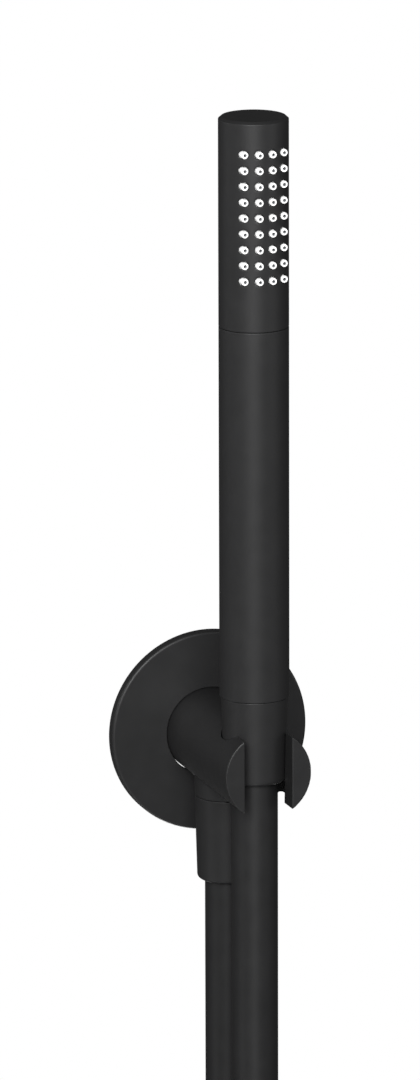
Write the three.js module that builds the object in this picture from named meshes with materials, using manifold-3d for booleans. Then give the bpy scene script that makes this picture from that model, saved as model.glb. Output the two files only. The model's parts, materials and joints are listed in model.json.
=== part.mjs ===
// Stick hand shower standing in a wall outlet that is also its holder, with its hose.
// Millimetres, +Z up. The origin is on the wall, on the axis of the water supply and of the
// horizontal holder arm. +Y points into the wall, so the room is at -Y and +X is to the right.
import * as THREE from 'three';
import { mergeVertices } from 'three/addons/utils/BufferGeometryUtils.js';
import Module from 'manifold-3d';

const wasm = await Module();
wasm.setup();

// ---- driving dimensions ---------------------------------------------------------------

const GAP = 0.3; // clearance between pieces that touch
const SEAL_GAP = 0.1; // clearance round an O-ring in its groove

const ARM = { radius: 16.05, front: -69.85, back: -0.5, edge: 0.25 };
const ROSETTE = { radius: 37, depth: 4.3, plate: 1.6, rim: 1.6, edge: 0.9, clear: 0.4 };
const ROSETTE_LIP = { depth: 4.0, wall: 1.4 }; // round the rosette's hole
const STICK = { y: -54.3, radius: 12.5, wall: 1.5, top: 236.25, lid: 2, bevel: 1.1, bevelDrop: 0.95 };
const OUTLET_Y = -24.55; // axis of the water outlet under the arm
const SLOT_WIDTH = 17.8; // lets the hose out of the seat
const HANDLE_SEAM = 160.7; // joint of handle and spray head
const HANDLE_END = 25.75; // joint of handle and hose nut
const OUTLET_END = -18.35; // joint of outlet collar and hose nut
const FACETS = { arm: 40, stick: 28, small: 20 }; // of round pieces

// A hose nut: a cone that also seats the handset in the holder.
const NUT = { top: 11.95, bottom: 11.08, length: 31, round: 1.6, chamfer: 0.4 };
const THREAD = { male: 10.2, female: 10.5, engaged: 9.6, wall: 10.48 }; // G1/2, as plain cylinders
const WASHER = { inner: 5.8, outer: 10.1, thick: 1.5 };
const TAIL = { flange: 10.1, thick: 2, bore: 3.8, stem: 4.9, barb: 5.3, length: 13.5 };

// Nozzles: straight jets, all parallel. The handset stands turned a little to the right.
const JETS = { columns: 4, spacing: 4.92, rows: 9, first: 179.25, pitch: 5.675, proud: 1.0 };
const FACING = 1.6; // degrees
const NOZZLE = { base: 1.45, tip: 1.35, hole: 0.5, clear: 1.7 };

// The hose: 1.5 m long, 16.7 mm across, and wound once and five sixths round in its coil.
const HOSE = { radius: 8.35, inner: 5.6, sides: 10 };
const COIL = { radius: 95, z: -294.5, pitch: 17, from: 120, to: 780 }; // degrees round the coil
const COIL_Y = (OUTLET_Y + STICK.y) / 2;

// ---- geometry helpers -----------------------------------------------------------------

const rad = THREE.MathUtils.degToRad;
const range = (count) => Array.from({ length: count }, (_, i) => i);

// A closed manifold-3d solid from a three.js geometry.
function solid(geometry) {
  const bare = geometry.clone();
  bare.deleteAttribute('normal');
  bare.deleteAttribute('uv');
  const merged = mergeVertices(bare, 1e-4);
  return new wasm.Manifold(new wasm.Mesh({
    numProp: 3,
    vertProperties: new Float32Array(merged.attributes.position.array),
    triVerts: new Uint32Array(merged.index.array),
  }));
}

// A three.js geometry from a manifold-3d solid.
function geometryOf(body) {
  const { vertProperties, triVerts } = body.getMesh();
  const geometry = new THREE.BufferGeometry();
  geometry.setAttribute('position', new THREE.BufferAttribute(vertProperties, 3));
  geometry.setIndex(new THREE.BufferAttribute(triVerts, 1));
  geometry.computeVertexNormals();
  return geometry;
}

const union = (bodies) => bodies.reduce((all, body) => all.add(body));
const cut = (body, tools) => tools.reduce((left, tool) => left.subtract(tool), body);

// Quarter round from angle `from` to `to` (degrees) about (r, h).
function arc(r, h, radius, from, to, steps = 3) {
  return range(steps + 1).map((i) => {
    const angle = rad(from + ((to - from) * i) / steps);
    return [r + radius * Math.cos(angle), h + radius * Math.sin(angle)];
  });
}

// Solid of revolution about the Z axis. The profile is [radius, height] points, with the outside
// wall going up; it closes on itself or runs from axis to axis.
function turned(profile, facets = FACETS.small) {
  const points = profile.map(([r, h]) => new THREE.Vector2(r, h));
  return new THREE.LatheGeometry(points, facets).rotateX(Math.PI / 2);
}

// The same about the Y axis, with heights measured along +Y.
function turnedAlongY(profile, facets = FACETS.small) {
  return new THREE.LatheGeometry(profile.map(([r, h]) => new THREE.Vector2(r, h)), facets);
}

const closed = (profile) => [...profile, profile[0]];
const tube = (inner, outer, low, high) => closed([[inner, low], [outer, low], [outer, high], [inner, high]]);
const rod = (r, low, high) => [[0, low], [r, low], [r, high], [0, high]];

// O-ring profile: a small circle of the given radius about (r, h).
function ringProfile(r, h, section) {
  return closed(arc(r, h, section, 0, 288, 4));
}

function block(x, y, z) {
  const size = [x, y, z].map(([low, high]) => high - low);
  const middle = [x, y, z].map(([low, high]) => (low + high) / 2);
  return new THREE.BoxGeometry(...size).translate(...middle);
}

// ---- materials ------------------------------------------------------------------------

const FINISHES = {
  black_coat: [0x1c1c1d, 0.45, 0.35],
  hose_black: [0x161617, 0.5, 0],
  silicone: [0xf2f2ee, 0.6, 0],
  seal_rubber: [0x121212, 0.8, 0],
  foam: [0x2a2a2a, 0.95, 0],
  brass: [0xb5924c, 0.35, 1],
  grey_plastic: [0x8d9093, 0.55, 0],
  white_plastic: [0xe4e4e0, 0.5, 0],
  steel: [0x9a9da0, 0.3, 1],
  strap: [0x1a1a1b, 0.95, 0],
};

const shower = new THREE.Group();
const outlet = new THREE.Group(); // about the outlet's axis
outlet.position.y = OUTLET_Y;
const handset = new THREE.Group(); // about the stick's axis, with the nozzles facing -Y
handset.position.y = STICK.y;
handset.rotation.z = rad(FACING);
shower.add(outlet, handset);

function add(group, name, finish, geometry) {
  const [color, roughness, metalness] = FINISHES[finish];
  const mesh = new THREE.Mesh(geometry, new THREE.MeshStandardMaterial({ color, roughness, metalness }));
  mesh.name = name;
  group.add(mesh);
}

// ---- wall side ------------------------------------------------------------------------

// The rosette is a thin cap. A lip round its hole guides it on the arm.
function addRosette() {
  const { radius, depth, plate, rim, edge, clear } = ROSETTE;
  const lip = ROSETTE_LIP;
  const hole = ARM.radius + clear;
  add(shower, 'wall_rosette', 'black_coat', turnedAlongY(closed([
    [hole, -depth],
    ...arc(radius - edge, edge - depth, edge, -90, 0),
    [radius, 0],
    [radius - rim, 0],
    [radius - rim, plate - depth],
    [hole + lip.wall, plate - depth],
    [hole + lip.wall, lip.depth - depth],
    [hole, lip.depth - depth],
  ]), FACETS.arm));
  const gasketInner = radius - rim - 7;
  add(shower, 'rosette_gasket', 'foam', turnedAlongY(
    tube(gasketInner, radius - rim - GAP, plate + GAP - depth, 0), FACETS.arm));
}

// The nipple that joins the arm to the supply: a spigot with two O-rings and a lock groove
// inside the arm, and a G1/2 thread inside the wall. It is screwed in with a hexagon key.
const SUPPLY = {
  front: -14.5,
  back: 16,
  bore: 6,
  hexKey: 12,
  keyDepth: 11,
  groove: 8.7,
  lock: 9.5,
  innerSeal: -12.2,
  outerSeal: -3.4,
  sealSection: 0.8,
  lockAt: -8,
};

// Outside profile across a groove of the given bottom radius, `half` either side of h.
const groove = (r, bottom, h, half) => [[r, h - half], [bottom, h - half], [bottom, h + half], [r, h + half]];

function addSupplyNipple() {
  const { front, back, bore, lock, innerSeal, outerSeal, sealSection, lockAt } = SUPPLY;
  const spigot = THREAD.male;
  const sealHalf = sealSection + GAP;
  const outside = [
    [bore, front], [spigot, front],
    ...groove(spigot, SUPPLY.groove, innerSeal, sealHalf),
    ...groove(spigot, lock, lockAt, 2.2),
    ...groove(spigot, SUPPLY.groove, outerSeal, sealHalf),
    [spigot, 0.2], [SUPPLY.groove, 0.2], [SUPPLY.groove, 1.6], [THREAD.wall, 1.6],
    [THREAD.wall, back - 0.8], [THREAD.wall - 0.8, back], [bore, back],
  ];
  const key = hexagon(SUPPLY.hexKey, SUPPLY.keyDepth + 1).translate(0, front + (SUPPLY.keyDepth - 1) / 2, 0);
  const nipple = solid(turnedAlongY(closed(outside))).subtract(solid(key));
  add(shower, 'supply_nipple', 'brass', geometryOf(nipple));
  const sealRadius = THREAD.female - SEAL_GAP - sealSection;
  const seal = (y) => turnedAlongY(ringProfile(sealRadius, y, sealSection));
  add(shower, 'supply_o_ring_inner', 'seal_rubber', seal(innerSeal));
  add(shower, 'supply_o_ring_outer', 'seal_rubber', seal(outerSeal));
}

// A hexagonal prism along Y, measured across its flats.
function hexagon(acrossFlats, length) {
  const corner = acrossFlats / 2 / Math.cos(Math.PI / 6);
  return new THREE.CylinderGeometry(corner, corner, length, 6);
}

const LOCK_SCREW = { radius: 2.5, key: 2.5, keyDepth: 2.5, low: -15.4, high: -9.8, tip: 1.3, facets: 16 };

function addLockScrew() {
  const { radius, key, keyDepth, low, high, tip, facets } = LOCK_SCREW;
  const body = solid(turned([
    [0, low], [radius, low], [radius, high - tip], [radius - tip, high], [0, high],
  ], facets));
  const socket = hexagon(key, 2 * keyDepth).rotateX(Math.PI / 2).translate(0, 0, low);
  const screw = geometryOf(body.subtract(solid(socket)));
  add(shower, 'lock_screw', 'steel', screw.translate(0, SUPPLY.lockAt, 0));
}

// Radius of the seat that takes the hose nut's cone, at a height.
const NUT_TAPER = (NUT.top - NUT.bottom) / NUT.length;
const HANDSET_NUT_TOP = HANDLE_END - GAP / 2;
const seatRadius = (z) => NUT.top - NUT_TAPER * (HANDSET_NUT_TOP - z) + GAP;

const PASSAGE = { radius: 7, end: -31.5 }; // water way along the arm
const OUTLET = { collar: NUT.top, shoulder: -10.5, spigot: 9.5, bore: 6, top: -5.8 };

function addHolderArm() {
  const { radius, front, back, edge } = ARM;
  const blank = turnedAlongY([
    [0, front], ...arc(radius - edge, front + edge, edge, -90, 0, 2), [radius, back], [0, back],
  ], FACETS.arm);
  const past = radius + 2;
  const slot = block([-SLOT_WIDTH / 2, SLOT_WIDTH / 2], [front - 5, STICK.y], [-past, past]);
  const seat = turned(
    [[0, -past], [seatRadius(-past), -past], [seatRadius(past), past], [0, past]], FACETS.stick);
  const spigotHole = turnedAlongY(rod(THREAD.female, SUPPLY.front - GAP, 1));
  const passage = turnedAlongY(rod(PASSAGE.radius, PASSAGE.end, SUPPLY.front));
  const collarHole = turned(rod(OUTLET.collar + GAP, -past, OUTLET.shoulder), FACETS.stick);
  const outletHole = turned(rod(OUTLET.spigot + GAP, OUTLET.shoulder - 1, OUTLET.top + GAP));
  const screwHole = turned(rod(LOCK_SCREW.radius + GAP, -past, LOCK_SCREW.high + 1), LOCK_SCREW.facets);
  const tools = [
    slot,
    seat.translate(0, STICK.y, 0),
    spigotHole,
    passage,
    collarHole.translate(0, OUTLET_Y, 0),
    outletHole.translate(0, OUTLET_Y, 0),
    screwHole.translate(0, SUPPLY.lockAt, 0),
  ];
  add(shower, 'holder_arm', 'black_coat', geometryOf(cut(solid(blank), tools.map(solid))));
}

// ---- water outlet with its non-return valve ---------------------------------------------

const OUTLET_NUT_TOP = OUTLET_END - GAP / 2;
const THREAD_END = OUTLET_NUT_TOP - THREAD.engaged;
const VALVE = { pocket: 7.6, top: -15.5, body: 7.3, bore: 6.2, seat: 4.2, plate: 2, stem: 0.9, disc: 5.2 };
const OUTLET_SEAL = { z: -8.4, section: 0.8 };

function addOutletNipple() {
  const { collar, shoulder, spigot, bore, top } = OUTLET;
  const { z, section } = OUTLET_SEAL;
  const sealRadius = spigot + GAP - SEAL_GAP - section;
  const foot = OUTLET_END + GAP / 2;
  add(outlet, 'outlet_nipple', 'black_coat', turned(closed([
    [VALVE.pocket, THREAD_END], [THREAD.male - 0.5, THREAD_END], [THREAD.male, THREAD_END + 0.5],
    [THREAD.male, foot], [collar - 0.4, foot], [collar, foot + 0.4], [collar, shoulder - GAP],
    [spigot, shoulder - GAP], ...groove(spigot, sealRadius - section - SEAL_GAP, z, section + GAP),
    [spigot, top], [bore, top], [bore, VALVE.top], [VALVE.pocket, VALVE.top],
  ]), FACETS.stick));
  add(outlet, 'outlet_o_ring', 'seal_rubber', turned(ringProfile(sealRadius, z, section)));
}

const VALVE_TOP = VALVE.top - GAP;
const VALVE_FOOT = THREAD_END + GAP;
const VALVE_SEAT = VALVE_TOP - 2; // underside of the seat
const VALVE_PLATE_TOP = VALVE_FOOT + VALVE.plate;
const VALVE_SEAL = { section: 0.45, z: VALVE_TOP - 1 };
const POPPET_TOP = VALVE_SEAT - GAP;
const POPPET_FOOT = POPPET_TOP - 1.6;
const SPRING = { wire: 0.3, radius: 3.3, turns: 4, steps: 10, sides: 5 };

function addValveHousing() {
  const { section, z } = VALVE_SEAL;
  const sealRadius = VALVE.pocket - SEAL_GAP - section;
  const guide = VALVE.stem + GAP;
  const housing = solid(turned(closed([
    [guide, VALVE_FOOT], [VALVE.body, VALVE_FOOT],
    ...groove(VALVE.body, sealRadius - section - SEAL_GAP, z, section + 0.15),
    [VALVE.body, VALVE_TOP], [VALVE.seat, VALVE_TOP], [VALVE.seat, VALVE_SEAT],
    [VALVE.bore, VALVE_SEAT], [VALVE.bore, VALVE_PLATE_TOP], [guide, VALVE_PLATE_TOP],
  ])));
  const plateMiddle = VALVE_FOOT + VALVE.plate / 2;
  const waterHoles = ringOfHoles(6, (guide + VALVE.bore) / 2, 1.5, plateMiddle, 3 * VALVE.plate);
  add(outlet, 'valve_housing', 'white_plastic', geometryOf(cut(housing, waterHoles)));
  add(outlet, 'valve_o_ring', 'seal_rubber', turned(ringProfile(sealRadius, z, section)));
}

// Tools for holes along Z, spread evenly on a circle.
function ringOfHoles(count, reach, radius, z, length) {
  return range(count).map((i) => {
    const angle = (2 * Math.PI * i) / count;
    const hole = new THREE.CylinderGeometry(radius, radius, length, 10).rotateX(Math.PI / 2);
    return solid(hole.translate(reach * Math.cos(angle), reach * Math.sin(angle), z));
  });
}

function addValvePoppet() {
  const { stem, disc, seat } = VALVE;
  const foot = VALVE_FOOT + 0.6;
  add(outlet, 'valve_poppet', 'grey_plastic', turned([
    [0, foot], [stem, foot], [stem, POPPET_FOOT], [disc, POPPET_FOOT], [disc, POPPET_TOP],
    [seat - 2 * GAP, POPPET_TOP], [2.6, POPPET_TOP + 1.3], [0, POPPET_TOP + 1.5],
  ]));
}

function circle(radius, sides) {
  return new THREE.Shape(range(sides).map((i) => {
    const angle = (2 * Math.PI * i) / sides;
    return new THREE.Vector2(radius * Math.cos(angle), radius * Math.sin(angle));
  }));
}

class Helix extends THREE.Curve {
  getPoint(t, target = new THREE.Vector3()) {
    const low = VALVE_PLATE_TOP + GAP + SPRING.wire;
    const high = POPPET_FOOT - GAP - SPRING.wire;
    const angle = 2 * Math.PI * SPRING.turns * t;
    const { radius } = SPRING;
    return target.set(radius * Math.cos(angle), radius * Math.sin(angle), low + (high - low) * t);
  }
}

function addValveSpring() {
  const { wire, sides, steps, turns } = SPRING;
  const along = { steps: steps * turns, extrudePath: new Helix() };
  add(outlet, 'valve_spring', 'steel', new THREE.ExtrudeGeometry(circle(wire, sides), along));
}

// ---- hose ends: nut, washer, barbed tail and the hose's own end ---------------------------

function addHoseEnd(group, prefix, nutTop) {
  const foot = nutTop - NUT.length;
  const washerTop = nutTop - THREAD.engaged - GAP;
  const flangeTop = washerTop - WASHER.thick - GAP;
  const flangeFoot = flangeTop - TAIL.thick;
  const shoulder = flangeFoot - GAP;
  const mouth = HOSE.radius + GAP;
  add(group, `${prefix}_hose_nut`, 'black_coat', turned(closed([
    [mouth, foot],
    ...arc(NUT.bottom - NUT.round, foot + NUT.round, NUT.round, -90, 0, 4),
    [NUT.top, nutTop - NUT.chamfer], [NUT.top - NUT.chamfer, nutTop],
    [THREAD.female, nutTop], [THREAD.female, shoulder], [mouth, shoulder],
  ]), FACETS.stick));
  add(group, `${prefix}_hose_washer`, 'seal_rubber', turned(
    tube(WASHER.inner, WASHER.outer, washerTop - WASHER.thick, washerTop)));
  const tailFoot = flangeFoot - TAIL.length;
  const barbs = range(3).flatMap((i) => {
    const low = tailFoot + 3.6 * i;
    return [[TAIL.stem, low], [TAIL.barb, low + 2.4], [TAIL.stem, low + 2.4]];
  });
  add(group, `${prefix}_hose_tail`, 'brass', turned(closed([
    [TAIL.bore, tailFoot], ...barbs, [TAIL.stem, flangeFoot],
    [TAIL.flange, flangeFoot], [TAIL.flange, flangeTop], [TAIL.bore, flangeTop],
  ])));
  add(group, `${prefix}_hose_cuff`, 'hose_black', turned(
    tube(HOSE.inner, HOSE.radius, foot, shoulder - GAP)));
}

// ---- handset ----------------------------------------------------------------------------

const BORE = STICK.radius - STICK.wall; // inside radius of handle and spray head
const PLUG = BORE - GAP; // pieces that fit inside them
const HANDLE_LOW = HANDLE_END + GAP / 2;
const HANDLE_HIGH = HANDLE_SEAM - GAP / 2;
const HEAD_LOW = HANDLE_SEAM + GAP / 2;
const STICK_SEAL = 0.75; // section radius of the O-rings inside the stick
const STICK_SEAL_RADIUS = BORE - SEAL_GAP - STICK_SEAL;
const WATER_TUBE = { inner: 6, outer: 7.2, socket: 7.5 };
const CONNECTOR = { top: 46, socket: 38, seal: 33, bore: 6.5 };
const NECK = { low: 150, high: 172, socket: 160, lowerSeal: 155, upperSeal: 166.5 };
const CONNECTOR_FOOT = HANDSET_NUT_TOP - THREAD.engaged;

const turnedInStick = (profile) => turned(profile, FACETS.stick);
const stickGroove = (z) => groove(PLUG, STICK_SEAL_RADIUS - STICK_SEAL - SEAL_GAP, z, STICK_SEAL + GAP);

function addStickSeal(name, z) {
  add(handset, name, 'seal_rubber', turnedInStick(ringProfile(STICK_SEAL_RADIUS, z, STICK_SEAL)));
}

function addHandle() {
  const { radius } = STICK;
  const chamfer = 0.35;
  add(handset, 'handle_tube', 'black_coat', turnedInStick(closed([
    [BORE, HANDLE_LOW], [radius - chamfer, HANDLE_LOW], [radius, HANDLE_LOW + chamfer],
    [radius, HANDLE_HIGH - chamfer], [radius - chamfer, HANDLE_HIGH], [BORE, HANDLE_HIGH],
  ])));
  const { bore, top, socket, seal } = CONNECTOR;
  add(handset, 'inlet_connector', 'brass', turnedInStick(closed([
    [bore, CONNECTOR_FOOT], [THREAD.male - 0.5, CONNECTOR_FOOT], [THREAD.male, CONNECTOR_FOOT + 0.5],
    [THREAD.male, HANDLE_LOW + 0.5], [PLUG, HANDLE_LOW + 0.5], ...stickGroove(seal),
    [PLUG, top], [WATER_TUBE.socket, top], [WATER_TUBE.socket, socket], [bore, socket],
  ])));
  addStickSeal('connector_o_ring', seal);
  add(handset, 'water_tube', 'grey_plastic', turnedInStick(
    tube(WATER_TUBE.inner, WATER_TUBE.outer, socket + GAP, NECK.socket - GAP)));
}

function addInletFilter() {
  const fit = CONNECTOR.bore - GAP;
  const low = CONNECTOR_FOOT + 0.3;
  const thick = 0.8;
  const sieve = solid(turned(rod(fit, low, low + thick)));
  const middle = low + thick / 2;
  const holes = [...ringOfHoles(6, 3.8, 1.1, middle, 3), ...ringOfHoles(1, 0, 1.1, middle, 3)];
  add(handset, 'inlet_filter', 'steel', geometryOf(cut(sieve, holes)));
  const limiter = low + thick + GAP;
  add(handset, 'flow_limiter', 'white_plastic', turned(closed([
    [1.4, limiter], [fit, limiter], [fit, limiter + 3.4], [4.6, limiter + 3.4],
    [3.2, limiter + 1.6], [1.4, limiter + 1.6],
  ])));
}

function addNeck() {
  const { inner, socket } = WATER_TUBE;
  add(handset, 'neck_connector', 'grey_plastic', turnedInStick(closed([
    [socket, NECK.low], [PLUG, NECK.low], ...stickGroove(NECK.lowerSeal), ...stickGroove(NECK.upperSeal),
    [PLUG, NECK.high], [inner, NECK.high], [inner, NECK.socket], [socket, NECK.socket],
  ])));
  addStickSeal('neck_o_ring_lower', NECK.lowerSeal);
  addStickSeal('neck_o_ring_upper', NECK.upperSeal);
}

const rowHeights = range(JETS.rows).map((i) => JETS.first + JETS.pitch * i);
const columnPlaces = range(JETS.columns).map((i) => JETS.spacing * (i - (JETS.columns - 1) / 2));
const jets = rowHeights.flatMap((z) => columnPlaces.map((x) => ({ x, z })));

// How far in front of the stick's axis a cylinder of radius r lies at x.
const reachAt = (r, x) => Math.sqrt(r * r - x * x);

// A round tool or boss along Y, from `near` to `far` in front of the stick's axis.
function alongJet({ x, z }, near, far, nearRadius, farRadius, sides) {
  const shape = new THREE.CylinderGeometry(nearRadius, farRadius, far - near, sides);
  return solid(shape.translate(x, -(near + far) / 2, z));
}

function addSprayShell() {
  const { radius, top, lid, bevel, bevelDrop } = STICK;
  const chamfer = 0.15;
  const blank = solid(turnedInStick([
    [0, top - lid], [BORE, top - lid], [BORE, HEAD_LOW], [radius - chamfer, HEAD_LOW],
    [radius, HEAD_LOW + chamfer], [radius, top - bevelDrop], [radius - bevel, top], [0, top],
  ]));
  const holes = jets.map((jet) => alongJet(jet, 5, radius + 2, NOZZLE.clear, NOZZLE.clear, 8));
  add(handset, 'spray_shell', 'black_coat', geometryOf(cut(blank, holes)));
}

// The mat is a slice of a tube; its sides end `side` in front of the stick's axis.
const MAT = { thick: 1.2, margin: 4.5, side: 6 };
const MAT_INNER = PLUG - MAT.thick;
const MAT_LOW = JETS.first - MAT.margin;
const MAT_HIGH = rowHeights.at(-1) + MAT.margin;
const frontSlice = (side, low, high) => solid(block([-20, 20], [-20, -side], [low, high]));

function addNozzleMat() {
  const sheet = solid(turnedInStick(tube(MAT_INNER, PLUG, MAT_LOW - 1, MAT_HIGH + 1)));
  const nozzles = jets.map((jet) => {
    const root = reachAt(MAT_INNER + MAT.thick / 2, jet.x);
    const tip = reachAt(STICK.radius, jet.x) + JETS.proud;
    return alongJet(jet, root, tip, NOZZLE.base, NOZZLE.tip, 6);
  });
  const holes = jets.map((jet) => alongJet(jet, 4, STICK.radius + 5, NOZZLE.hole, NOZZLE.hole, 4));
  const mat = union([sheet.intersect(frontSlice(MAT.side, MAT_LOW, MAT_HIGH)), ...nozzles]);
  add(handset, 'nozzle_mat', 'silicone', geometryOf(cut(mat, holes)));
}

function addJetCarrier() {
  const low = NECK.high + GAP;
  const high = STICK.top - STICK.lid - GAP;
  const plenum = 7.7;
  const slit = { reach: 8.3, half: 0.8 };
  const recess = solid(turnedInStick(tube(MAT_INNER - GAP, PLUG + 2, MAT_LOW - GAP, MAT_HIGH + GAP)))
    .intersect(frontSlice(MAT.side - GAP, MAT_LOW - 1, MAT_HIGH + 1));
  const water = solid(turnedInStick(rod(plenum, low - 1, MAT_HIGH)));
  const slits = rowHeights.map((z) => solid(
    block([-slit.reach, slit.reach], [-12, -1], [z - slit.half, z + slit.half])));
  const blank = solid(turnedInStick(rod(PLUG, low, high)));
  add(handset, 'jet_carrier', 'white_plastic', geometryOf(cut(blank, [recess, water, ...slits])));
}

// ---- the free hose ----------------------------------------------------------------------

// Centre line of the stretch from the outlet nut to the coil, then from the handset nut to it.
// Both hang straight down and then swing out to opposite sides of the coil.
const OUTLET_RUN = [
  [0, -24.55, -49.8], [0, -24.55, -60], [0, -24.55, -72], [0, -24.55, -84], [0, -24.55, -96],
  [0, -24.55, -108], [0, -24.55, -120], [0, -24.55, -130], [-1.3, -24.5, -145.6], [-5.2, -24.4, -160.8],
  [-11.6, -24.25, -175.1], [-17, -24.15, -183.7],
];
const HANDSET_RUN = [
  [0, -54.3, -5.4], [0, -54.3, -18], [0, -54.3, -32], [0, -54.3, -46], [0, -54.3, -60], [0, -54.3, -74],
  [0, -54.3, -88], [0, -54.3, -102], [0, -54.3, -116], [0, -54.3, -130], [1.3, -54.35, -145.6],
  [5.2, -54.45, -160.8], [11.6, -54.6, -175.1], [17, -54.7, -183.7],
];
const TIE = { thick: 1.6, width: 16, clear: 0.9, left: 140, right: 40 }; // degrees round the coil

function addHoseRun(name, points, steps) {
  const route = new THREE.CatmullRomCurve3(points.map((p) => new THREE.Vector3(...p)));
  const along = { steps, extrudePath: route };
  add(shower, name, 'hose_black', new THREE.ExtrudeGeometry(circle(HOSE.radius, HOSE.sides), along));
}

// A frame round the coil's section. Its straight sides clear the curved coil.
function addHoseTie(name, coilWidth, angle) {
  const corners = (grow) => {
    const x = HOSE.radius + TIE.clear + grow;
    const y = coilWidth / 2 + GAP + grow;
    return [[-x, -y], [x, -y], [x, y], [-x, y]].map(([a, b]) => new THREE.Vector2(a, b));
  };
  const outline = new THREE.Shape(corners(TIE.thick));
  outline.holes.push(new THREE.Path(corners(0).reverse()));
  const tie = new THREE.ExtrudeGeometry(outline, { depth: TIE.width, bevelEnabled: false });
  tie.translate(COIL.radius, COIL_Y, -TIE.width / 2).rotateY(-rad(angle));
  add(shower, name, 'strap', tie.translate(0, 0, COIL.z));
}

function addHose() {
  addHoseRun('hose_outlet_run', OUTLET_RUN, 7);
  addHoseRun('hose_handset_run', HANDSET_RUN, 8);
  const advance = ((COIL.to - COIL.from) / 360) * COIL.pitch;
  const { radius } = HOSE;
  const width = advance + 2 * radius;
  const ring = turnedAlongY(tube(
    COIL.radius - radius, COIL.radius + radius, COIL_Y - width / 2, COIL_Y + width / 2), FACETS.arm);
  add(shower, 'hose_coil', 'hose_black', ring.translate(0, 0, COIL.z));
  addHoseTie('hose_tie_left', width, TIE.left);
  addHoseTie('hose_tie_right', width, TIE.right);
}

addRosette();
addSupplyNipple();
addLockScrew();
addHolderArm();
addOutletNipple();
addValveHousing();
addValvePoppet();
addValveSpring();
addHoseEnd(outlet, 'outlet', OUTLET_NUT_TOP);
addHoseEnd(handset, 'handset', HANDSET_NUT_TOP);
addHandle();
addInletFilter();
addNeck();
addSprayShell();
addNozzleMat();
addJetCarrier();
addHose();

export default shower;
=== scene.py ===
"""Looks of a stick hand shower that stands in its wall outlet, and of its hose.

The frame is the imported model's: metres, the wall is the plane y = 0, +Y points into it, +Z is up
along the stick and +X is to the right. Profiles and distances here are written in millimetres.
"""

import json
import math

import bpy
import numpy as np
from mathutils import Matrix, Vector


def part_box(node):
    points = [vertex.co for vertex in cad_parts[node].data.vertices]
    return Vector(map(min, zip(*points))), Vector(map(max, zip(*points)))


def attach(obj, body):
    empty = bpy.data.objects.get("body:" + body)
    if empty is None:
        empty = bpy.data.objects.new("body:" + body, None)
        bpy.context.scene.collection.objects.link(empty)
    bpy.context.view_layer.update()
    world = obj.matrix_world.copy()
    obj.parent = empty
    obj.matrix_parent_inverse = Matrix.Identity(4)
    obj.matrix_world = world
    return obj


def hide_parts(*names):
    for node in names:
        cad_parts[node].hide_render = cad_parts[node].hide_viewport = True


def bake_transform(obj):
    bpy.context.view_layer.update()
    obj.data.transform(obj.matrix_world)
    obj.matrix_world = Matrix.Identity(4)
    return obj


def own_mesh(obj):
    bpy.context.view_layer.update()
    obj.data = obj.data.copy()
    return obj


MM = 0.001
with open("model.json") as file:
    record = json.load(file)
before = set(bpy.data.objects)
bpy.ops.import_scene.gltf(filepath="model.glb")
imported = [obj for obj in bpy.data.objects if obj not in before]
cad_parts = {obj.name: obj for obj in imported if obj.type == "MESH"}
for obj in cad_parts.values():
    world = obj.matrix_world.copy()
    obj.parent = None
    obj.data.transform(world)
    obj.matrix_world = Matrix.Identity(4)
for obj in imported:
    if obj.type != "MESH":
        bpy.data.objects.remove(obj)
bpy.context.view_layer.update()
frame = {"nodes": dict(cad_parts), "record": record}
nodes = frame["nodes"]


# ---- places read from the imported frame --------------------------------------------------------


def box(node):
    """Lowest and highest corner of a CAD node, in millimetres."""
    return [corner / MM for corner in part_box(node)]


def middle(node):
    low, high = box(node)
    return (low + high) / 2


def span(node):
    """Lowest and highest z of a CAD node."""
    low, high = box(node)
    return low.z, high.z


def radius(node):
    low, high = box(node)
    return (high.x - low.x) / 2


GAP = 0.3  # between pieces that touch, in the CAD model
SEAM = 0.045  # how far each side of a visible joint reaches into that gap
ARM_RADIUS = radius("holder_arm")
ARM_FRONT, ARM_BACK = box("holder_arm")[0].y, box("holder_arm")[1].y
STICK_Y = middle("handle_tube").y
STICK_RADIUS = radius("handle_tube")
OUTLET_Y = middle("outlet_hose_nut").y
HOSE_RADIUS = 8.35
FACING = math.radians(1.6)  # the handset stands turned by this about its axis
SLOT_OF = {row["node"]: row["material_slot"] for row in frame["record"]["subparts"]}
BODY_OF = {node: body for body, held in frame["record"]["behaviour"]["bodies"].items() for node in held}


# ---- meshes -------------------------------------------------------------------------------------


def make_object(name, points, faces, smooth_angle=32.0):
    """A mesh object from points in millimetres. Edges sharper than the angle stay sharp."""
    mesh = bpy.data.meshes.new(name)
    mesh.from_pydata((np.asarray(points) * MM).tolist(), [], [list(map(int, f)) for f in faces])
    mesh.validate()
    mesh.shade_smooth()
    mesh.set_sharp_from_angle(angle=math.radians(smooth_angle))
    thing = bpy.data.objects.new(name, mesh)
    bpy.context.scene.collection.objects.link(thing)
    return thing


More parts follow.
